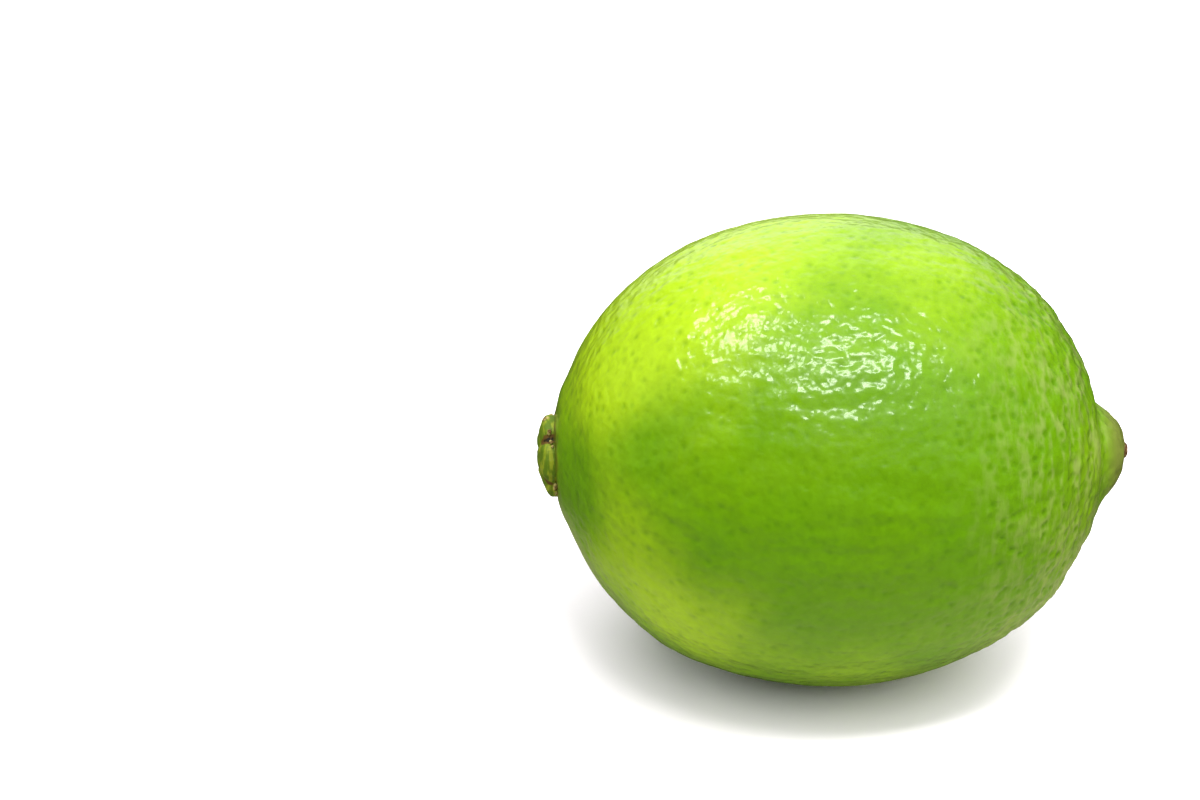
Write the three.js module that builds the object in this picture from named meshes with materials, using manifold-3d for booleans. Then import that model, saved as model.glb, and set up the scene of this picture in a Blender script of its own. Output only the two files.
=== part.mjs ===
// A fresh lime lying on its side: one solid fruit with a blunt nipple at its tip end,
// the dry five-lobed calyx button that stays on the stem end after picking, and the
// dry stub of the style on the nipple. Millimetres, +Z up, the fruit's axis along X with
// the tip at +X, and the origin on the resting surface under the middle of the lime's box.
import * as THREE from 'three';
import { mergeVertices } from 'three/addons/utils/BufferGeometryUtils.js';
import Module from 'manifold-3d';

// Fruit: two blunt half ovals that meet at the widest plane.
const fruitDiameter = 52;
const stemHalfLength = 29.8;
const tipHalfLength = 29.5;
const stemBluntness = 0.93; // 1 is a true ellipse, less is blunter
const tipBluntness = 0.85;

// Nipple at the tip end, with the shallow furrow round its foot.
const nippleDiameter = 12.4;
const nippleHeight = 3.4;
const nippleDoming = 1; // 1 is a parabola, less is blunter
const furrowDepth = 0.4;
const furrowWidth = 1.7;

// Low collar of peel round the calyx button.
const collarDiameter = 13;
const collarHeight = 0.35;
const collarWidth = 1.8;

// Flat spot that the fruit rests on: how far the round underside is cut back.
const restDepth = 0.4;

// Calyx button and the scar of the cut stalk in its middle.
const calyxDiameter = 9.2;
const calyxThickness = 2;
const calyxRimThickness = 1.2;
const calyxDrop = 0.7; // how far its middle sits below the fruit's axis
const calyxLobes = 5;
const calyxNotchDepth = 0.6;
const calyxNotchSharpness = 4;
const stalkScarDiameter = 3;
const stalkScarDepth = 0.4;
const stalkScarSharpness = 4;

// Dry stub of the style, sunk in a small pit in the nipple.
const styleDiameter = 1.7;
const styleHeight = 0.6;
const stylePitDepth = 0.7;

// Clearance between the fruit and each dry piece that sits on it.
const seatGap = 0.3;

// Gentle swellings and hollows of the grown fruit. "along" is the distance from the widest
// plane towards the tip, "around" is degrees from the top towards -Y, "rise" is the height.
// They fade out towards both ends of the axis, so that the dry pieces seat evenly.
const swellings = [
  { along: -17, around: 153, rise: 0.35, spread: 9 },
  { along: 29, around: 150, rise: 0.7, spread: 4.5 },
  { along: 29, around: 75, rise: 0.6, spread: 4.5 },
  { along: 24, around: 150, rise: 0.3, spread: 5 },
  { along: 27, around: -25, rise: -0.2, spread: 8 },
  { along: -27, around: 150, rise: -0.12, spread: 7 },
  { along: 12, around: 70, rise: 0.25, spread: 8 },
  { along: -9, around: 255, rise: 0.35, spread: 11 },
  { along: 10, around: 300, rise: -0.3, spread: 10 },
];
const swellingFade = 4;

// Fineness of the facets.
const segmentsAround = 48;
const stepsPerHalf = 18;
const nippleSteps = 8;
const buttonSegments = 40;
const faceSteps = 10;
const seatSteps = 5;
const rimSteps = 5;
const stubSegments = 20;
const mergeDistance = 1e-4;

const fruitRadius = fruitDiameter / 2;
const nippleRadius = nippleDiameter / 2;
const collarRadius = collarDiameter / 2;
const calyxRadius = calyxDiameter / 2;
const scarRadius = stalkScarDiameter / 2;
const styleRadius = styleDiameter / 2;
const stylePitRadius = styleRadius + seatGap;
const quarterTurn = Math.PI / 2;

// A low ridge, 1 high, at one radius, fading on both sides.
function ring(radius, centre, width) {
  return Math.exp(-(((radius - centre) / width) ** 2));
}

// How far a blunt half oval reaches along the axis at a distance from the axis.
function ovalReach(radius, halfLength, bluntness) {
  const share = Math.min(radius / fruitRadius, 1);
  return halfLength * Math.sqrt(1 - share ** (2 / bluntness));
}

// Reach of the tip end, with the nipple and the furrow round its foot.
function tipReach(radius) {
  const share = Math.min(radius / nippleRadius, 1);
  const nipple = nippleHeight * (1 - share ** 2) ** nippleDoming;
  const furrow = furrowDepth * ring(radius, nippleRadius + furrowWidth, furrowWidth);
  return ovalReach(radius, tipHalfLength, tipBluntness) + nipple - furrow;
}

function stylePitFloor() {
  return tipReach(stylePitRadius) - stylePitDepth;
}

// Reach of the stem end, with the collar round the button.
function stemReach(radius) {
  const collar = collarHeight * ring(radius, collarRadius, collarWidth);
  return ovalReach(radius, stemHalfLength, stemBluntness) + collar;
}

// Merge a geometry into one closed mesh and drop the zero-width triangles at its poles.
function closeMesh(geometry) {
  geometry.deleteAttribute('normal');
  geometry.deleteAttribute('uv');
  const merged = mergeVertices(geometry, mergeDistance);
  const corners = merged.getIndex().array;
  const kept = [];
  for (let i = 0; i < corners.length; i += 3) {
    const [a, b, c] = corners.slice(i, i + 3);
    if (a !== b && b !== c && c !== a) kept.push(a, b, c);
  }
  merged.setIndex(kept);
  merged.computeVertexNormals();
  return merged;
}

// Turn a profile of (distance from the axis, place along the axis) about the X axis.
function revolve(profile, segments) {
  const geometry = new THREE.LatheGeometry(profile, segments);
  geometry.rotateZ(-quarterTurn);
  return closeMesh(geometry);
}

// Point on the unswollen side of the fruit, and the direction straight out of it.
function surfacePoint(along, around) {
  const halfLength = along < 0 ? stemHalfLength : tipHalfLength;
  const bluntness = along < 0 ? stemBluntness : tipBluntness;
  const share = Math.min(Math.abs(along) / halfLength, 1);
  const radius = fruitRadius * Math.sqrt(1 - share ** 2) ** bluntness;
  return new THREE.Vector3(along, -radius * Math.sin(around), radius * Math.cos(around));
}

function outwardAt(point) {
  const halfLength = point.x < 0 ? stemHalfLength : tipHalfLength;
  const squares = new THREE.Vector3(halfLength ** 2, fruitRadius ** 2, fruitRadius ** 2);
  return point.clone().divide(squares).normalize();
}

function swell(geometry) {
  const positions = geometry.getAttribute('position');
  const centres = swellings.map((s) => surfacePoint(s.along, THREE.MathUtils.degToRad(s.around)));
  for (let i = 0; i < positions.count; i += 1) {
    const point = new THREE.Vector3().fromBufferAttribute(positions, i);
    const fadeRadius = point.x < 0 ? collarRadius : nippleRadius / 2;
    const clearOfSeats = Math.min(Math.hypot(point.y, point.z) / fadeRadius, 1) ** swellingFade;
    let rise = 0;
    swellings.forEach((s, n) => {
      rise += s.rise * Math.exp(-((point.distanceTo(centres[n]) / s.spread) ** 2));
    });
    point.addScaledVector(outwardAt(point), rise * clearOfSeats);
    positions.setXYZ(i, point.x, point.y, point.z);
  }
}

// Solids for the one cut that this part needs.
const wasm = await Module();
wasm.setup();

function toSolid(geometry) {
  const vertProperties = new Float32Array(geometry.getAttribute('position').array);
  const triVerts = new Uint32Array(geometry.getIndex().array);
  return new wasm.Manifold(new wasm.Mesh({ numProp: 3, vertProperties, triVerts }));
}

function fromSolid(solid) {
  const mesh = solid.getMesh();
  const geometry = new THREE.BufferGeometry();
  geometry.setAttribute('position', new THREE.BufferAttribute(mesh.vertProperties, 3));
  geometry.setIndex(new THREE.BufferAttribute(mesh.triVerts, 1));
  geometry.computeVertexNormals();
  return geometry;
}

function makeFruit() {
  const profile = [];
  for (let i = 0; i < stepsPerHalf; i += 1) {
    const radius = fruitRadius * Math.sin((i / stepsPerHalf) * quarterTurn) ** stemBluntness;
    profile.push(new THREE.Vector2(radius, -stemReach(radius)));
  }
  const shoulderRadius = nippleRadius + 2 * furrowWidth;
  for (let i = stepsPerHalf; i > 0; i -= 1) {
    const radius = fruitRadius * Math.sin((i / stepsPerHalf) * quarterTurn) ** tipBluntness;
    if (radius > shoulderRadius) profile.push(new THREE.Vector2(radius, tipReach(radius)));
  }
  for (let i = nippleSteps; i >= 0; i -= 1) {
    const radius = stylePitRadius + ((shoulderRadius - stylePitRadius) * i) / nippleSteps;
    profile.push(new THREE.Vector2(radius, tipReach(radius)));
  }
  profile.push(new THREE.Vector2(stylePitRadius, stylePitFloor()));
  profile.push(new THREE.Vector2(0, stylePitFloor()));
  const geometry = revolve(profile, segmentsAround);
  swell(geometry);
  geometry.computeBoundingBox();
  const { min, max } = geometry.boundingBox;
  const blockHeight = fruitDiameter;
  const block = new THREE.BoxGeometry(2 * (max.x - min.x), 2 * fruitDiameter, blockHeight);
  block.translate(0, 0, min.z + restDepth - blockHeight / 2);
  return fromSolid(toSolid(geometry).subtract(toSolid(closeMesh(block))));
}

// The button's rim is drawn in between the lobes, and its underside keeps the same
// clearance from the stem end at the place that it is lowered to.
function makeCalyxButton() {
  const profile = [];
  const seat = (radius) => -stemReach(radius) - seatGap;
  const faceRadius = calyxRadius - calyxRimThickness / 2;
  const face = (radius) => {
    const fall = (calyxThickness - calyxRimThickness) * (radius / faceRadius) ** 2;
    const scar = stalkScarDepth * Math.exp(-((radius / scarRadius) ** stalkScarSharpness));
    return seat(0) - calyxThickness + fall + scar;
  };
  for (let i = 0; i < faceSteps; i += 1) {
    const radius = (faceRadius * i) / faceSteps;
    profile.push(new THREE.Vector2(radius, face(radius)));
  }
  const rimMiddle = (face(faceRadius) + seat(faceRadius)) / 2;
  const rimHeight = (seat(faceRadius) - face(faceRadius)) / 2;
  for (let i = 0; i <= rimSteps; i += 1) {
    const turn = (i / rimSteps) * Math.PI;
    const radius = faceRadius + (calyxRadius - faceRadius) * Math.sin(turn);
    profile.push(new THREE.Vector2(radius, rimMiddle - rimHeight * Math.cos(turn)));
  }
  for (let i = seatSteps - 1; i >= 0; i -= 1) {
    const radius = (faceRadius * i) / seatSteps;
    profile.push(new THREE.Vector2(radius, seat(radius)));
  }
  const geometry = revolve(profile, buttonSegments);
  const positions = geometry.getAttribute('position');
  for (let i = 0; i < positions.count; i += 1) {
    const y = positions.getY(i);
    const z = positions.getZ(i);
    const notch = ((1 + Math.cos(calyxLobes * Math.atan2(y, z))) / 2) ** calyxNotchSharpness;
    const share = Math.hypot(y, z) / calyxRadius;
    const drawnIn = 1 - (calyxNotchDepth / calyxRadius) * notch * share ** 2;
    const droppedZ = z * drawnIn - calyxDrop;
    const seatChange = stemReach(Math.hypot(y * drawnIn, droppedZ)) - stemReach(Math.hypot(y, z));
    positions.setXYZ(i, positions.getX(i) - seatChange, y * drawnIn, droppedZ);
  }
  geometry.computeVertexNormals();
  return geometry;
}

function makeStyleStub() {
  const seat = stylePitFloor() + seatGap;
  const profile = [new THREE.Vector2(0, seat)];
  profile.push(new THREE.Vector2(styleRadius, seat));
  for (let i = 1; i < rimSteps; i += 1) {
    const turn = (i / rimSteps) * quarterTurn;
    profile.push(new THREE.Vector2(styleRadius * Math.cos(turn), seat + styleHeight * Math.sin(turn)));
  }
  profile.push(new THREE.Vector2(0, seat + styleHeight));
  return revolve(profile, stubSegments);
}

const peel = new THREE.MeshStandardMaterial({ color: 0x7fb41a, roughness: 0.35, metalness: 0 });
const dryCalyx = new THREE.MeshStandardMaterial({ color: 0x8a8f3a, roughness: 0.8, metalness: 0 });
const dryStyle = new THREE.MeshStandardMaterial({ color: 0x6b5637, roughness: 0.85, metalness: 0 });

const lime = new THREE.Group();

const fruit = new THREE.Mesh(makeFruit(), peel);
fruit.name = 'fruit';
lime.add(fruit);

const calyxButton = new THREE.Mesh(makeCalyxButton(), dryCalyx);
calyxButton.name = 'calyx_button';
lime.add(calyxButton);

const styleStub = new THREE.Mesh(makeStyleStub(), dryStyle);
styleStub.name = 'style_stub';
lime.add(styleStub);

// Stand the flat spot on Z = 0 with the middle of the whole box over the origin.
const box = new THREE.Box3().setFromObject(lime);
const middle = box.getCenter(new THREE.Vector3());
lime.position.set(-middle.x, -middle.y, -box.min.z);
lime.updateMatrixWorld(true);

export default lime;
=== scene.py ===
import math

import bmesh
import bpy
import numpy as np
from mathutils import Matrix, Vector
from mathutils.noise import seed_set, turbulence_vector


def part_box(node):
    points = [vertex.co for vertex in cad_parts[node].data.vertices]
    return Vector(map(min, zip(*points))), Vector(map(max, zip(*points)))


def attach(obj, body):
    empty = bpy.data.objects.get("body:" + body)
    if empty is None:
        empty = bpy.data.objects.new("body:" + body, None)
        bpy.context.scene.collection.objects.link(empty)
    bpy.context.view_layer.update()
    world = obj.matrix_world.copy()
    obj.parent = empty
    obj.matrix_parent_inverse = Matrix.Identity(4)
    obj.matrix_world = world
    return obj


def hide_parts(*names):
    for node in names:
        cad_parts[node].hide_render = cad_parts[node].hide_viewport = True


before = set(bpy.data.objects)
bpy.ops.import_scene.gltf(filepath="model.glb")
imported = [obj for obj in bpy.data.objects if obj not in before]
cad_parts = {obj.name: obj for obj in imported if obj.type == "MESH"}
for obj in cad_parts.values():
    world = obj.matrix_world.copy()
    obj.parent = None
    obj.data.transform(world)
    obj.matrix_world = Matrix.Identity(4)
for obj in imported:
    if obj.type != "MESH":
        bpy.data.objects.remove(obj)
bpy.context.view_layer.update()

# --- The fruit -------------------------------------------------------------------------
# The fruit is one grown piece of peel over flesh, with its axis along X. Its stem end is at
# -X, and its tip carries a blunt nipple with a furrow round its foot and a small pit for the
# style. It is grown fuller in some places, and it rests on a small flat spot.
mm = 0.001
fruit_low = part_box("fruit")[0]
stub_low, stub_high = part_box("style_stub")
fruit_radius = 26 * mm
stem_half = 29.8 * mm
tip_half = 29.5 * mm
stem_bluntness = 0.93
tip_bluntness = 0.85
nipple_radius = 5.8 * mm
nipple_height = 3.5 * mm
nipple_foot = 0.07
nipple_lift = 0.3 * mm
furrow_depth = 0.25 * mm
furrow_width = 1.7 * mm
collar_radius = 6.5 * mm
collar_height = 0.35 * mm
collar_width = 1.8 * mm
boss_radius = 5 * mm
boss_height = 0.6 * mm
style_pit_radius = 1.15 * mm
style_pit_depth = 0.6 * mm
stub_middle = (stub_low + stub_high) / 2
fruit_middle = Vector((fruit_low.x + stem_half, stub_middle.y, stub_middle.z))

# Each swelling: how far along the axis, degrees round it from the top, rise and spread.
swellings = [
    (-17, 153, 0.35, 9),
    (29, 150, 1.0, 4.5),
    (29, 75, 0.6, 4.5),
    (24, 150, 0.3, 5),
    (27, -25, -0.2, 8),
    (-27, 150, -0.12, 7),
    (12, 70, 0.25, 8),
    (-9, 255, 0.35, 11),
    (10, 300, -0.3, 10),
]


def oval_reach(radius, half_length, bluntness):
    share = np.minimum(radius / fruit_radius, 1)
    return half_length * np.sqrt(1 - share ** (2 / bluntness))


def stem_reach(radius):
    collar = collar_height * np.exp(-(((radius - collar_radius) / collar_width) ** 2))
    boss = boss_height * np.exp(-((radius / boss_radius) ** 4))
    return oval_reach(radius, stem_half, stem_bluntness) + collar + boss


def tip_reach(radius):
    rest = 1 - (radius / nipple_radius) ** 2
    dome = np.logaddexp(0, rest / nipple_foot) * nipple_foot
    furrow_place = (radius - nipple_radius - furrow_width) / furrow_width
    furrow = furrow_depth * np.exp(-(furrow_place**2))
    return oval_reach(radius, tip_half, tip_bluntness) + nipple_height * dome - furrow


def style_pit(radius):
    return style_pit_depth * np.exp(-((radius / style_pit_radius) ** 4))


def meridian(steps):
    """Points of the profile from the stem end to the tip, as places along and off the axis."""
    turn = np.linspace(0, math.pi / 2, steps)
    stem_radii = fruit_radius * np.sin(turn) ** stem_bluntness
    tip_radii = (fruit_radius * np.sin(turn) ** tip_bluntness)[::-1]
    along = [-stem_reach(stem_radii), tip_reach(tip_radii) - style_pit(tip_radii)]
    return np.concatenate(along), np.concatenate([stem_radii, tip_radii])


def side_point(along, around):
    """A point on the fruit's side before any swelling."""
    half = stem_half if along < 0 else tip_half
    bluntness = stem_bluntness if along < 0 else tip_bluntness
    radius = fruit_radius * math.sqrt(1 - min(abs(along) / half, 1) ** 2) ** bluntness
    return np.array([along, -radius * math.sin(around), radius * math.cos(around)])


def on_ball(points):
    """Move the points of a cube that is 2 wide onto a ball of radius 1, evenly spread."""
    ball = np.tan(points * math.pi / 4)
    return ball / np.linalg.norm(ball, axis=1)[:, None]


def grow_fruit(ball):
    """Move the points of a ball onto the grown fruit, about the fruit's own middle."""
    along, radius = meridian(3000)
    steps = np.hypot(np.diff(along), np.diff(radius))
    walked = np.concatenate([[0], np.cumsum(steps)])
    way = np.arccos(np.clip(-ball[:, 0], -1, 1)) / math.pi * walked[-1]
    side = ball[:, 1:] / np.maximum(np.hypot(ball[:, 1], ball[:, 2]), 1e-9)[:, None]
    here = np.interp(way, walked, radius)
    grown = np.column_stack([np.interp(way, walked, along), side * here[:, None]])
    half = np.where(grown[:, 0] < 0, stem_half, tip_half)
    outward = grown / np.column_stack([half**2, np.full((len(half), 2), fruit_radius**2)])
    outward /= np.linalg.norm(outward, axis=1)[:, None]
    fade_radius = np.where(grown[:, 0] < 0, collar_radius, nipple_radius / 2)
    fade = np.minimum(here / fade_radius, 1) ** 4
    rise = np.zeros(len(grown))
    for place, degrees, height, width in swellings:
        centre = side_point(place * mm, math.radians(degrees))
        off = np.linalg.norm(grown - centre, axis=1) / (width * mm)
        rise += height * mm * np.exp(-(off**2))
    grown += outward * (rise * fade)[:, None]
    grown[:, 2] += nipple_lift * np.clip((grown[:, 0] - tip_half) / nipple_height, 0, 1)
    return grown


def points_of(mesh):
    found = np.empty(len(mesh.vertices) * 3, np.float32)
    mesh.vertices.foreach_get("co", found)
    return found.reshape(-1, 3).astype(float)


def put_points(mesh, points):
    mesh.vertices.foreach_set("co", points.astype(np.float32).ravel())
    mesh.update()


def cut_cube(name, cuts):
    """A smooth-shaded cube, 2 wide and finely cut, to be grown so that no end has a pole."""
    bm = bmesh.new()
    bmesh.ops.create_cube(bm, size=2)
    bmesh.ops.subdivide_edges(bm, edges=bm.edges, cuts=cuts, use_grid_fill=True)
    made = bpy.data.meshes.new(name)
    bm.to_mesh(made)
    bm.free()
    made.shade_smooth()
    return made


def add_object(name, data):
    made = bpy.data.objects.new(name, data)
    bpy.context.scene.collection.objects.link(made)
    return made


skin_mesh = cut_cube("peel", 127)
put_points(skin_mesh, grow_fruit(on_ball(points_of(skin_mesh))) + np.array(fruit_middle))
peel = add_object("peel", skin_mesh)

# The peel is studded with oil glands, small dark dimples that are boldest near the tip. It
# also rises and falls in low swells, in shallow valleys along the fruit, and in wrinkles that
# girdle the tip. It is pressed flat where the fruit rests.
gland_spacing = 1.2 * mm
gland_width = 0.3
gland_scatter = 1.0
gland_depth_stem = 0.12 * mm
gland_depth_tip = 0.27 * mm
undulation_length = 6 * mm
undulation_height = 0.4 * mm
valley_length = 2.4 * mm
valley_stretch = (0.22, 1, 1)
valley_height = 0.36 * mm
wrinkle_stretch = (2, 1, 0.7)
wrinkle_length = 2.4 * mm
wrinkle_height = 0.6 * mm


def put(tree, kind, inputs, **settings):
    """Add a node, set it, and feed its inputs with sockets or values."""
    made = tree.nodes.new(kind)
    for name, value in settings.items():
        setattr(made, name, value)
    for key, value in inputs.items():
        if isinstance(value, bpy.types.NodeSocket):
            tree.links.new(value, made.inputs[key])
        else:
            made.inputs[key].default_value = value
    return made


def calc(tree, operation, *values):
    return put(tree, "ShaderNodeMath", dict(enumerate(values)), operation=operation).outputs[0]


def ease(tree, value, start, end, low=0.0, high=1.0):
    """A smooth step from low to high as the value goes from start to end."""
    inputs = {"Value": value, "From Min": start, "From Max": end, "To Min": low, "To Max": high}
    made = put(tree, "ShaderNodeMapRange", inputs, interpolation_type="SMOOTHSTEP")
    return made.outputs["Result"]


def noise(tree, place, length, detail=2.0, roughness=0.5):
    """Noise from 0 to 1 whose swells are about one length apart."""
    inputs = {"Vector": place, "Scale": 1 / length, "Detail": detail, "Roughness": roughness}
    return put(tree, "ShaderNodeTexNoise", inputs).outputs[0]


def stretch(tree, place, factors):
    made = put(tree, "ShaderNodeVectorMath", {0: place, 1: factors}, operation="MULTIPLY")
    return made.outputs[0]


def part_of(tree, vector, axis):
    return put(tree, "ShaderNodeSeparateXYZ", {"Vector": vector}).outputs[axis]


def towards_tip(tree, place):
    """0 on the stem half, rising to 1 at the tip end."""
    return ease(tree, part_of(tree, place, "X"), fruit_middle.x, fruit_middle.x + tip_half)


def gland_cells(tree, place):
    inputs = {"Vector": place, "Scale": 1 / gland_spacing, "Randomness": gland_scatter}
    return put(tree, "ShaderNodeTexVoronoi", inputs, feature="F1").outputs


def gland(tree, place):
    """1 in the middle of an oil gland, falling to 0 between the glands."""
    cells = gland_cells(tree, place)
    share = calc(tree, "DIVIDE", cells["Distance"], gland_width)
    dip = calc(tree, "EXPONENT", calc(tree, "MULTIPLY", calc(tree, "POWER", share, 2.0), -1.0))
    chance = part_of(tree, cells["Color"], "X")
    return calc(tree, "MULTIPLY", dip, ease(tree, chance, 0.0, 1.0, 0.35, 1.0))


relief = bpy.data.node_groups.new("peel_relief", "GeometryNodeTree")
relief.interface.new_socket("Geometry", in_out="INPUT", socket_type="NodeSocketGeometry")
relief.interface.new_socket("Geometry", in_out="OUTPUT", socket_type="NodeSocketGeometry")
skin_in = relief.nodes.new("NodeGroupInput").outputs[0]
spot = relief.nodes.new("GeometryNodeInputPosition").outputs[0]
depth = ease(relief, towards_tip(relief, spot), 0.0, 1.0, gland_depth_stem, gland_depth_tip)
dimple = calc(relief, "MULTIPLY", gland(relief, spot), depth)
undulation = calc(relief, "SUBTRACT", noise(relief, spot, undulation_length), 0.5)
undulation = calc(relief, "MULTIPLY", undulation, undulation_height)
valley = noise(relief, stretch(relief, spot, valley_stretch), valley_length, 1.0)
valley = calc(relief, "SUBTRACT", valley, 0.5)
along = part_of(relief, spot, "X")
stem_x = fruit_middle.x - stem_half
calm = ease(relief, along, stem_x, fruit_middle.x - stem_half * 0.6, 0.15, 1.0)
valley = calc(relief, "MULTIPLY", valley, calc(relief, "MULTIPLY", calm, valley_height))
wrinkle = noise(relief, stretch(relief, spot, wrinkle_stretch), wrinkle_length)
wrinkle = calc(relief, "SUBTRACT", wrinkle, 0.5)
near_tip = ease(relief, towards_tip(relief, spot), 0.3, 0.9, 0.0, wrinkle_height)
nipple_foot_x = fruit_middle.x + tip_half * 0.93
before_foot = ease(relief, along, nipple_foot_x, fruit_middle.x + tip_half, 1.0, 0.1)
wrinkle = calc(relief, "MULTIPLY", wrinkle, calc(relief, "MULTIPLY", near_tip, before_foot))
swell = calc(relief, "ADD", calc(relief, "ADD", undulation, valley), wrinkle)
height = calc(relief, "SUBTRACT", swell, dimple)
normal = relief.nodes.new("GeometryNodeInputNormal").outputs[0]
push = put(relief, "ShaderNodeVectorMath", {0: normal, "Scale": height}, operation="SCALE")
moved = put(relief, "GeometryNodeSetPosition", {"Geometry": skin_in, "Offset": push.outputs[0]})
relief.links.new(moved.outputs[0], relief.nodes.new("NodeGroupOutput").inputs[0])

modifier = peel.modifiers.new("relief", "NODES")
modifier.node_group = relief
raised = peel.evaluated_get(bpy.context.evaluated_depsgraph_get())
settled = bpy.data.meshes.new_from_object(raised)
peel.modifiers.clear()
peel.data = settled
skin = points_of(settled)
skin[:, 2] = np.maximum(skin[:, 2], 0)
put_points(settled, skin)

# The rind is a saturated green under a thin natural wax, which makes it glossy. Painted light
# makes it lighter and yellower on the upper and lower left, and painted shade makes it darkest
# round the stem end and by the button, where it is also stained. It is greyish between the
# glands towards the tip, partly painted sheen, olive on the nipple, and browner by the style.
deep_green = (0.072, 0.247, 0.001, 1)
leaf_green = (0.112, 0.265, 0.001, 1)
painted_lit_green = (0.325, 0.505, 0.005, 1)
pale_green_and_sheen = (0.34, 0.385, 0.13, 1)
gland_green = (0.055, 0.165, 0.001, 1)
nipple_olive = (0.162, 0.195, 0.035, 1)
bark_stain_and_shade = (0.10, 0.10, 0.008, 1)
style_stain = (0.12, 0.06, 0.02, 1)
mottle_length = 9 * mm
fleck_length = 1.1 * mm
veil_stretch = (2.4, 1, 0.6)
veil_length = 2.6 * mm
smooth_radius = 7.4 * mm
style_stain_radius = 1.7 * mm
button_drop = 0.75 * mm
ragged_length = 2 * mm
ragged_width = 4 * mm
pore_length = 0.5 * mm
ridge_length = 1.2 * mm
wave_length = 1.2 * mm
wave_height = 0.29

# Each patch: along the axis, degrees round it from the top, spread, how much lighter and
# yellower. On the top and front most patches are painted light, and those below 0 painted
# shade; behind and under the fruit they only vary the tone.
tone_and_light_patches = [
    (-19, 15, 14, 0.85),
    (-8, -30, 15, 0.5),
    (12, 10, 14, 0.3),
    (-16, 118, 9, 0.35),
    (0, 130, 10, 0.25),
    (-13.5, 88, 2.6, -0.22),
    (-26, 25, 9, 0.28),
    (-22, 98, 6, 0.16),
    (-18, 114, 8, 0.3),
    (-25, 116, 5, 0.25),
    (-28, 80, 5, -0.26),
    (-21, 62, 4.5, -0.2),
    (11, 68, 6, -0.1),
    (8, 180, 14, 0.5),
    (-14, 230, 9, -0.25),
    (15, 290, 12, 0.35),
    (28, 95, 12, 0.28),
    (-23, 86, 5, 0.15),
]


def mix_colour(tree, share, first, second):
    inputs = {0: share, 6: first, 7: second}
    return put(tree, "ShaderNodeMix", inputs, data_type="RGBA").outputs[2]


def new_material(name):
    made = bpy.data.materials.new(name)
    made.use_nodes = True
    made.node_tree.nodes.clear()
    tree = made.node_tree
    shader = tree.nodes.new("ShaderNodeBsdfPrincipled")
    output = tree.nodes.new("ShaderNodeOutputMaterial")
    tree.links.new(shader.outputs[0], output.inputs[0])
    place = tree.nodes.new("ShaderNodeTexCoord").outputs["Object"]
    return made, tree, shader, place


def distance_to(tree, place, centre):
    made = put(tree, "ShaderNodeVectorMath", {0: place, 1: centre}, operation="DISTANCE")
    return made.outputs[1]


def nearness(tree, place, centre, spread):
    """1 at the centre, falling smoothly to 0 beyond the spread."""
    apart = distance_to(tree, place, centre)
    share = calc(tree, "POWER", calc(tree, "DIVIDE", apart, spread), 2.0)
    return calc(tree, "EXPONENT", calc(tree, "MULTIPLY", share, -1.0))


waxy_peel, tree, shader, place = new_material("waxy_peel")
tipness = towards_tip(tree, place)
dots = gland(tree, place)
mottle = noise(tree, place, mottle_length, 3.0)
tone_and_painted_light = ease(tree, mottle, 0.25, 0.75, 0.3, 0.5)
# The patches add painted light and painted shade to the rind's random mottle.
for reach, degrees, spread, strength in tone_and_light_patches:
    centre = Vector(side_point(reach * mm, math.radians(degrees))) + fruit_middle
    tone_and_light_patch = nearness(tree, place, centre, spread * mm)
    tone_and_painted_light = calc(tree, "ADD", tone_and_painted_light, calc(tree, "MULTIPLY", tone_and_light_patch, strength))
# Painted shade pulls towards the deep green, and painted light towards the yellow lit green.
colour = mix_colour(tree, ease(tree, tone_and_painted_light, 0.0, 0.42), deep_green, leaf_green)
colour = mix_colour(tree, ease(tree, tone_and_painted_light, 0.42, 1.15), colour, painted_lit_green)
fleck = ease(tree, noise(tree, place, fleck_length, 3.0, 0.6), 0.2, 0.8, 0.92, 1.08)
tone = put(tree, "ShaderNodeCombineXYZ", {0: fleck, 1: fleck, 2: fleck}).outputs[0]
flecked = {0: 1.0, 6: colour, 7: tone}
colour = put(tree, "ShaderNodeMix", flecked, data_type="RGBA", blend_type="MULTIPLY").outputs[2]
# Greyish between the glands towards the tip: partly the rind's own colour, partly painted
# sheen.
between = ease(tree, gland_cells(tree, place)["Distance"], 0.15, 0.6)
girdle = noise(tree, stretch(tree, place, veil_stretch), veil_length, 3.0, 0.6)
veil = ease(tree, girdle, 0.4, 0.66)
veil = calc(tree, "MULTIPLY", veil, ease(tree, tipness, 0.15, 1.0, 0.0, 0.48))
tip_point = Vector((fruit_middle.x + tip_half + nipple_height, fruit_middle.y, fruit_middle.z))
from_tip = distance_to(tree, place, tip_point)
bare = ease(tree, from_tip, smooth_radius * 0.7, smooth_radius)
pale_and_sheen_share = calc(tree, "MULTIPLY", calc(tree, "MULTIPLY", between, veil), bare)
colour = mix_colour(tree, pale_and_sheen_share, colour, pale_green_and_sheen)
dot_share = calc(tree, "MULTIPLY", dots, ease(tree, tipness, 0.0, 0.8, 0.4, 0.6))
colour = mix_colour(tree, calc(tree, "MULTIPLY", dot_share, bare), colour, gland_green)
olive = ease(tree, from_tip, smooth_radius * 0.6, smooth_radius, 0.92, 0.0)
colour = mix_colour(tree, olive, colour, nipple_olive)
at_style = nearness(tree, place, tip_point, style_stain_radius)
colour = mix_colour(tree, at_style, colour, style_stain)
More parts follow.
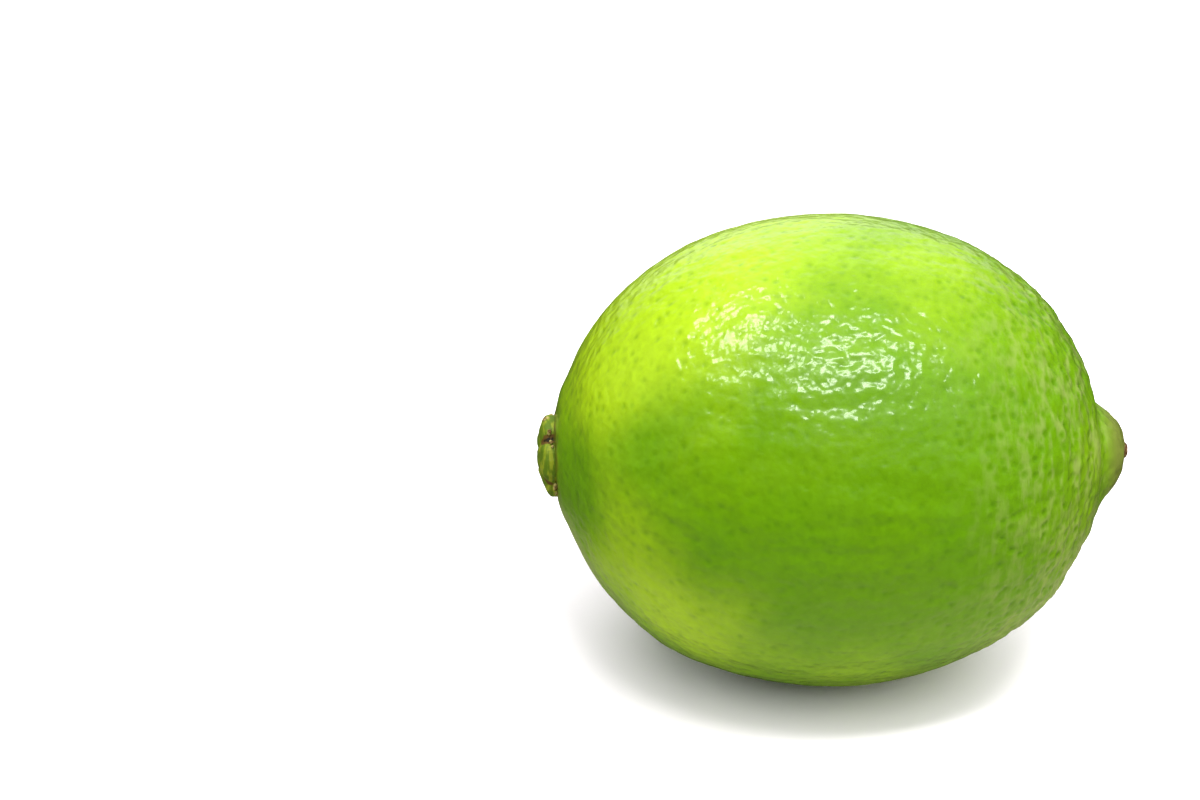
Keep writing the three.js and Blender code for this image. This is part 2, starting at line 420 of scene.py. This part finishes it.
# Round the button the peel turns dark olive: partly a real stain, partly painted shade under
# the button's edge.
stem_point = Vector((stem_x, fruit_middle.y, fruit_middle.z - button_drop))
from_stem = distance_to(tree, place, stem_point)
ragged = calc(tree, "SUBTRACT", noise(tree, place, ragged_length), 0.5)
ragged = calc(tree, "ADD", from_stem, calc(tree, "MULTIPLY", ragged, ragged_width))
colour = mix_colour(tree, ease(tree, ragged, 4.6 * mm, 6.4 * mm, 0.9, 0.0), colour, bark_stain_and_shade)
tree.links.new(colour, shader.inputs["Base Color"])
gloss = ease(tree, noise(tree, place, 4 * mm), 0.3, 0.7, 0.32, 0.45)
tree.links.new(gloss, shader.inputs["Roughness"])
shader.inputs["IOR"].default_value = 1.43
shader.inputs["Specular IOR Level"].default_value = 0.15
shader.inputs["Coat Weight"].default_value = 1.0
shader.inputs["Coat Roughness"].default_value = 0.22
shader.inputs["Coat IOR"].default_value = 1.43
pores = calc(tree, "MULTIPLY", noise(tree, place, pore_length, 2.0), 0.02)
ridges = calc(tree, "MULTIPLY", noise(tree, place, ridge_length, 1.0), 0.1)
fine = calc(tree, "ADD", pores, ridges)
bump = put(tree, "ShaderNodeBump", {"Height": fine, "Distance": mm, "Strength": 1.0})
tree.links.new(bump.outputs[0], shader.inputs["Normal"])
calm = ease(tree, from_stem, 6 * mm, 16 * mm, 0.25, 1.0)
waves = calc(tree, "MULTIPLY", calm, wave_height)
waves = calc(tree, "MULTIPLY", noise(tree, place, wave_length, 1.3), waves)
wax_bump = put(tree, "ShaderNodeBump", {"Height": waves, "Distance": mm, "Strength": 1.0})
tree.links.new(wax_bump.outputs[0], shader.inputs["Coat Normal"])
settled.materials.append(waxy_peel)
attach(peel, "root")
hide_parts("fruit")

# --- The calyx button --------------------------------------------------------------------
# What is left of the flower's cup is a dry disc with five blunt lobes, and a woody round
# scar where the stalk broke off. It is grown onto the stem end, a little below the axis,
# leans in at the bottom, and has crumbs of dead bark at its edge.
button_radius = 4.45 * mm
button_thickness = 1.5 * mm
button_rim = 1.45 * mm
button_sunk = 0.3 * mm
button_sag = 0.035
lobe_count = 5
first_notch = math.radians(36)
notch_depth = 0.13
groove_depth = 0.5 * mm
scar_radius = 1.5 * mm
scar_depth = 0.5 * mm
scar_lip_height = 0.12 * mm
scar_lip_width = 0.45 * mm
crust_height = 0.07 * mm
crust_seed = 4

# Each crumb: degrees round the rim from the top, out from the middle, off the peel, size.
crumbs = [
    (0, 4.35, 0.8, 0.5),
    (-14, 4.5, 0.4, 0.4),
    (43, 4.45, 0.3, 0.3),
    (50, 4.5, 0.2, 0.26),
    (27, 4.35, 0.5, 0.3),
    (108, 4.85, 0.1, 0.36),
    (119, 5.05, 0.05, 0.3),
    (205, 4.4, 0.3, 0.35),
    (262, 4.5, 0.4, 0.28),
    (318, 4.35, 0.25, 0.33),
]


def stem_surface(offset_y, offset_z):
    """How far along X the peel is at the stem end, at those offsets from the fruit's axis."""
    return fruit_middle.x - stem_reach(np.hypot(offset_y, offset_z))


def roughen(points, size, height):
    """Push points about by a crumbly noise that comes out the same each time."""
    seed_set(crust_seed)
    for point in points:
        where = Vector(point) / size
        point += np.array(turbulence_vector(where, 3, False)) * height


button_mesh = cut_cube("calyx", 55)
ball = on_ball(points_of(button_mesh))
radial = np.maximum(np.hypot(ball[:, 1], ball[:, 2]), 1e-9)
turn = np.arctan2(-ball[:, 1], ball[:, 2])
share = radial**0.55
outer = np.where(ball[:, 0] < 0, np.abs(ball[:, 0]) ** 0.55, -np.abs(ball[:, 0]) ** 0.15)
notch = ((1 + np.cos(lobe_count * (turn - first_notch))) / 2) ** 5
notch *= 0.62 + 0.38 * np.cos(turn - first_notch)
wander = 1 + 0.03 * np.sin(2 * turn + 0.6) + 0.02 * np.sin(3 * turn + 2.1)
wander += button_sag * (1 - np.cos(turn))
out = share * button_radius * wander * (1 - notch_depth * notch * share**2)
offset_y = -out * np.sin(turn)
offset_z = out * np.cos(turn) - button_drop
lean = 1 - 0.25 * np.clip(-offset_z / button_radius, 0, 1) ** 2.5
scar = np.exp(-((out / scar_radius) ** 6))
scar_lip = np.exp(-(((out - scar_radius * 1.25) / scar_lip_width) ** 2))
thickness = button_thickness - (button_thickness - button_rim) * share**2
thickness = thickness * lean - scar_depth * scar + scar_lip_height * scar_lip
thickness = thickness - groove_depth * notch * share**1.5
half_thickness = (thickness + button_sunk) / 2
seat = stem_surface(offset_y, offset_z) + button_sunk
button = np.column_stack([
    seat - half_thickness - outer * half_thickness,
    fruit_middle.y + offset_y,
    fruit_middle.z + offset_z,
])
roughen(button, 1.1 * mm, crust_height)
put_points(button_mesh, button)

# Its vertices carry how torn it is, most of all in the notches, and where dead bark shows.
bm = bmesh.new()
bm.from_mesh(button_mesh)
crack_mark = bm.verts.layers.float.new("crack")
bark_mark = bm.verts.layers.float.new("bark")
seam = np.clip(ball[:, 0] / 0.12, 0, 1)
torn_rim = notch**2 * share**2 * np.where(ball[:, 0] < 0, 1, 0.75) + 0.38 * seam * share**2
stalk_scar = 0.9 * scar * (ball[:, 0] < 0)
for vert, depth, dead in zip(bm.verts, torn_rim, stalk_scar):
    vert[crack_mark] = depth
    vert[bark_mark] = dead
for degrees, reach, off, size in crumbs:
    angle = math.radians(degrees)
    place_y = -reach * mm * math.sin(angle)
    place_z = reach * mm * math.cos(angle) - button_drop
    place_x = stem_surface(place_y, place_z) - off * mm
    lump = bmesh.ops.create_icosphere(bm, subdivisions=3, radius=size * mm)["verts"]
    shape = np.array([vert.co for vert in lump])
    squash = 0.8 + 0.4 * math.sin(degrees)  # each crumb's own, between 0.4 and 1.2
    shape[:, 0] *= 0.75
    shape[:, 2] *= squash
    shape += np.array([place_x, fruit_middle.y + place_y, fruit_middle.z + place_z])
    roughen(shape, 0.45 * mm, size * 0.35 * mm)
    for vert, co in zip(lump, shape):
        vert.co = co
        vert[bark_mark] = 1
bm.to_mesh(button_mesh)
bm.free()
button_mesh.shade_smooth()
calyx = add_object("calyx", button_mesh)

# It dries from green to straw in streaks, and to dark brown in the cracks between lobes.
lobe_green = (0.085, 0.15, 0.004, 1)
lobe_straw = (0.22, 0.27, 0.012, 1)
bark_brown = (0.10, 0.055, 0.01, 1)
bark_beige = (0.36, 0.31, 0.10, 1)
crack_black = (0.012, 0.009, 0.002, 1)
dry_calyx, tree, shader, place = new_material("dry_calyx")
streaks = noise(tree, stretch(tree, place, (4, 1, 1)), 1.6 * mm, 3.0)
colour = mix_colour(tree, ease(tree, streaks, 0.42, 0.62), lobe_green, lobe_straw)
flecks = noise(tree, place, 0.6 * mm, 3.0, 0.6)
colour = mix_colour(tree, ease(tree, flecks, 0.62, 0.74, 0.0, 0.6), colour, bark_beige)
crust = noise(tree, place, 0.9 * mm, 3.0, 0.6)
crumble = calc(tree, "MULTIPLY", calc(tree, "SUBTRACT", crust, 0.5), 0.9)
crack = put(tree, "ShaderNodeAttribute", {}, attribute_name="crack").outputs["Fac"]
torn = calc(tree, "ADD", crack, crumble)
colour = mix_colour(tree, ease(tree, torn, 0.26, 0.44), colour, bark_brown)
colour = mix_colour(tree, ease(tree, torn, 0.7, 0.9), colour, crack_black)
bark = put(tree, "ShaderNodeAttribute", {}, attribute_name="bark").outputs["Fac"]
bark_colour = mix_colour(tree, ease(tree, crust, 0.4, 0.6), bark_brown, bark_beige)
colour = mix_colour(tree, bark, colour, bark_colour)
tree.links.new(colour, shader.inputs["Base Color"])
shader.inputs["Roughness"].default_value = 0.62
shader.inputs["Specular IOR Level"].default_value = 0.2
grain = noise(tree, place, 0.3 * mm, 3.0, 0.6)
bump = put(tree, "ShaderNodeBump", {"Height": grain, "Distance": 0.05 * mm, "Strength": 1.0})
tree.links.new(bump.outputs[0], shader.inputs["Normal"])
button_mesh.materials.append(dry_calyx)
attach(calyx, "root")
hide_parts("calyx_button")

# --- The style stub ----------------------------------------------------------------------
# The dried foot of the flower's style is a rough brown plug with a dented end. It is grown
# into the pit of the nipple and stands a little proud of its dome.
stub_radius = 0.95 * mm
stub_half = 0.8 * mm
stub_proud = 0.12 * mm
stub_forward = 0.95 * mm
stub_lift = 0.42 * mm
stub_stretch = 1.25
stub_dent = 0.22 * mm
stub_mesh = cut_cube("style", 23)
ball = on_ball(points_of(stub_mesh))
radial = np.maximum(np.hypot(ball[:, 1], ball[:, 2]), 1e-9)
blunt = np.sign(ball[:, 0]) * np.abs(ball[:, 0]) ** 0.7
stub = np.column_stack([
    stub_high.x + stub_proud - stub_half + stub_half * blunt,
    stub_middle.y - stub_forward + stub_stretch * stub_radius * ball[:, 1] * radial**-0.35,
    stub_middle.z + stub_lift + stub_radius * ball[:, 2] * radial**-0.35,
])
stub[:, 0] -= stub_dent * np.exp(-((radial / 0.3) ** 2)) * (ball[:, 0] > 0)
roughen(stub, 0.5 * mm, 0.09 * mm)
put_points(stub_mesh, stub)
style = add_object("style", stub_mesh)

stub_brown = (0.075, 0.03, 0.008, 1)
stub_tan = (0.19, 0.11, 0.045, 1)
dry_style, tree, shader, place = new_material("dry_style")
crust = noise(tree, place, 0.5 * mm, 3.0, 0.6)
colour = mix_colour(tree, ease(tree, crust, 0.45, 0.65), stub_brown, stub_tan)
tree.links.new(colour, shader.inputs["Base Color"])
shader.inputs["Roughness"].default_value = 0.7
stub_mesh.materials.append(dry_style)
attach(style, "root")
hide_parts("style_stub")

# --- The studio --------------------------------------------------------------------------
# A white floor under a broad overhead sun with three weak fills. A long key panel in front
# and a window panel to the left make the glints on the wax, which otherwise mirrors only a
# pale backdrop behind the fruit.
floor_reach = 4.0
lamp_colour = (1, 1, 0.96)
panel_distance = 0.6
bm = bmesh.new()
bmesh.ops.create_grid(bm, x_segments=1, y_segments=1, size=floor_reach)
floor_mesh = bpy.data.meshes.new("floor")
bm.to_mesh(floor_mesh)
bm.free()
floor = add_object("floor", floor_mesh)

# The floor looks white, but it throws less light back onto the fruit the farther off it is.
floor_white = (0.97, 0.92, 1.0, 1)
bounce_near = (0.66, 0.66, 0.42, 1)
bounce_far = (0.08, 0.08, 0.05, 1)
mirrored_near = (0.28, 0.28, 0.14, 1)
mirrored_far = (0.02, 0.02, 0.01, 1)
floor_paint, tree, shader, place = new_material("floor_paint")
rays = tree.nodes.new("ShaderNodeLightPath").outputs
from_middle = distance_to(tree, place, (0, 0, 0))
bounce = mix_colour(tree, ease(tree, from_middle, 0.04, 0.16), bounce_near, bounce_far)
mirrored = mix_colour(tree, ease(tree, from_middle, 0.028, 0.06), mirrored_near, mirrored_far)
bounce = mix_colour(tree, rays["Is Glossy Ray"], bounce, mirrored)
shade = mix_colour(tree, rays["Is Camera Ray"], bounce, floor_white)
tree.links.new(shade, shader.inputs["Base Color"])
shader.inputs["Roughness"].default_value = 0.9
shader.inputs["Specular IOR Level"].default_value = 0.0
floor_mesh.materials.append(floor_paint)


def aim(item, towards):
    item.rotation_mode = "QUATERNION"
    item.rotation_quaternion = Vector(towards).to_track_quat("-Z", "Y")


def light(name, kind, direction, distance, energy, **settings):
    """A lamp in that direction from the fruit, shining back at it."""
    data = bpy.data.lights.new(name, kind)
    data.energy = energy
    data.color = lamp_colour
    for key, value in settings.items():
        setattr(data, key, value)
    made = add_object(name, data)
    out = Vector(direction).normalized()
    made.location = fruit_middle + out * distance
    aim(made, -out)
    return made


# Each sun: its direction, strength and width in degrees. None of them shows in the wax.
suns = {
    "overhead": ((0.22, -0.12, 1), 5.1, 104),
    "left_fill": ((-1, 0.1, 0.25), 1.45, 60),
    "right_fill": ((1, -0.2, 0.15), 0.45, 60),
    "front_fill": ((0, -1, 0), 0.25, 60),
}
for name, (direction, energy, degrees) in suns.items():
    sun_lamp = light(name, "SUN", direction, 1.0, energy, angle=math.radians(degrees))
    sun_lamp.visible_glossy = False
key_size = {"shape": "RECTANGLE", "size": 0.31, "size_y": 0.08}
light("key", "AREA", (0.1, -0.34, 0.94), panel_distance, 2.5, **key_size)
window_size = {"shape": "RECTANGLE", "size": 0.2, "size_y": 0.14}
window = light("window", "AREA", (-0.41, 0.0, 0.9), panel_distance, 1.5, **window_size)
window.visible_diffuse = False

world = bpy.data.worlds.new("studio")
bpy.context.scene.world = world
world.use_nodes = True
tree = world.node_tree
tree.nodes.clear()
facing = tree.nodes.new("ShaderNodeTexCoord").outputs["Generated"]
behind = ease(tree, part_of(tree, facing, "Y"), 0.2, 0.9)
sideways = calc(tree, "ABSOLUTE", part_of(tree, facing, "X"))
backdrop = calc(tree, "MULTIPLY", behind, ease(tree, sideways, 0.1, 0.7, 1.0, 0.1))
seen = tree.nodes.new("ShaderNodeLightPath").outputs["Is Camera Ray"]
strength = put(tree, "ShaderNodeMix", {0: seen, 2: backdrop, 3: 1.1}, data_type="FLOAT")
strength = strength.outputs[0]
background = put(tree, "ShaderNodeBackground", {"Color": (1, 1, 1, 1), "Strength": strength})
world_output = tree.nodes.new("ShaderNodeOutputWorld")
tree.links.new(background.outputs[0], world_output.inputs[0])

camera_tilt = math.radians(27)
camera_distance = 265.6 * mm
camera_left = 25.0 * mm
camera_up = 5.43 * mm
look = Vector((0, math.cos(camera_tilt), -math.sin(camera_tilt)))
up = Vector((0, math.sin(camera_tilt), math.cos(camera_tilt)))
camera_data = bpy.data.cameras.new("camera")
camera_data.lens = 72
camera_data.sensor_width = 36
camera_data.clip_start = 0.01
camera = add_object("camera", camera_data)
camera.location = fruit_middle - look * camera_distance + up * camera_up
camera.location.x -= camera_left
aim(camera, look)
bpy.context.scene.camera = camera
bpy.context.scene.view_settings.view_transform = "Standard"
